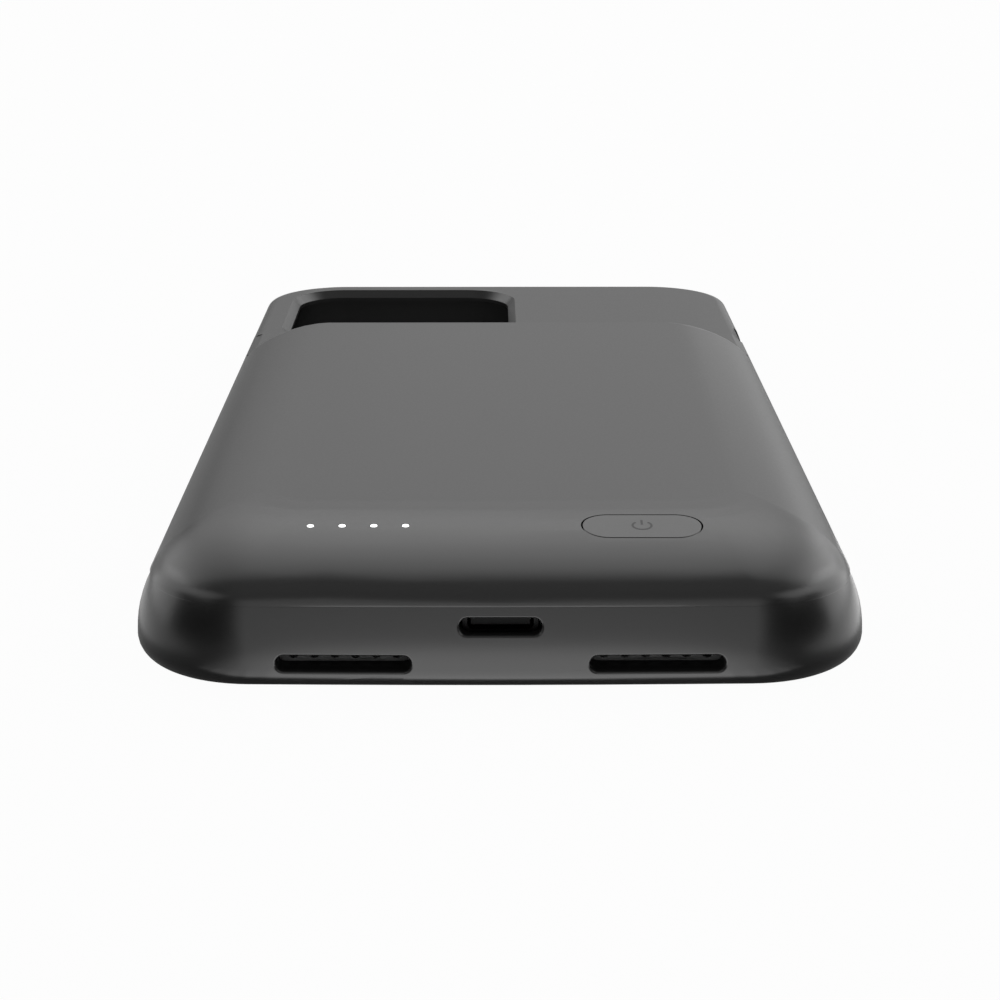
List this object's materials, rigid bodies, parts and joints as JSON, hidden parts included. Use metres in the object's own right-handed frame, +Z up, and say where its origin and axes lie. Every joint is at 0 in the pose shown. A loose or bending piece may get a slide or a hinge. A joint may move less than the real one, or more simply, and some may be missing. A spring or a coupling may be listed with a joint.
{
  "type": "battery charging case",
  "caption": "Slim phone case with a domed battery back, a soft camera end with a large opening, a charging port between two sound slots, a row of charge lights and a power button.",
  "frame": {"origin": "under the middle of the case, on the surface that the front rim rests on", "axes": "+Z up through the back, +Y from the charging end to the camera end, +X to the right seen from the charging end"},
  "size_m": [0.084, 0.175, 0.015],
  "materials": {
    "shell": "soft satin coat",
    "soft_end": "soft satin moulding",
    "tray": "fine moulded grain",
    "button": "soft satin coat",
    "light": "milky clear",
    "black_plastic": "moulded",
    "metal": "bright plated",
    "nickel": "plain strip",
    "board": "solder mask",
    "ceramic": "fired",
    "pouch": "foil laminate",
    "tape": "foam tape",
    "flex": "film"
  },
  "bodies": {
    "case": {"side_frame": "shell", "back_cover": "shell", "top_bumper": "soft_end", "inner_tray": "tray", "tact_switch": "metal", "led_emitters": "light", "light_guide": "light", "main_board": "board", "board_screws": "metal", "power_inductor": "black_plastic", "control_chips": "black_plastic", "capacitors": "ceramic", "battery_cell": "pouch", "battery_tape": "tape", "protection_board": "board", "battery_leads": "nickel", "charge_board": "board", "charge_socket_shell": "metal", "charge_socket_insert": "black_plastic", "plug_holder": "black_plastic", "phone_plug": "metal", "board_flex": "flex", "sound_grille_left": "black_plastic", "sound_grille_right": "black_plastic"},
    "button": {"power_button": "button", "switch_plunger": "black_plastic"}
  },
  "joints": [
    {"name": "button_press", "type": "slide", "parent": "case", "child": "button", "axis": [0, 0, -1], "range_m": [0, 0.00025], "stiffness_N_per_m": 6400}
  ]
}
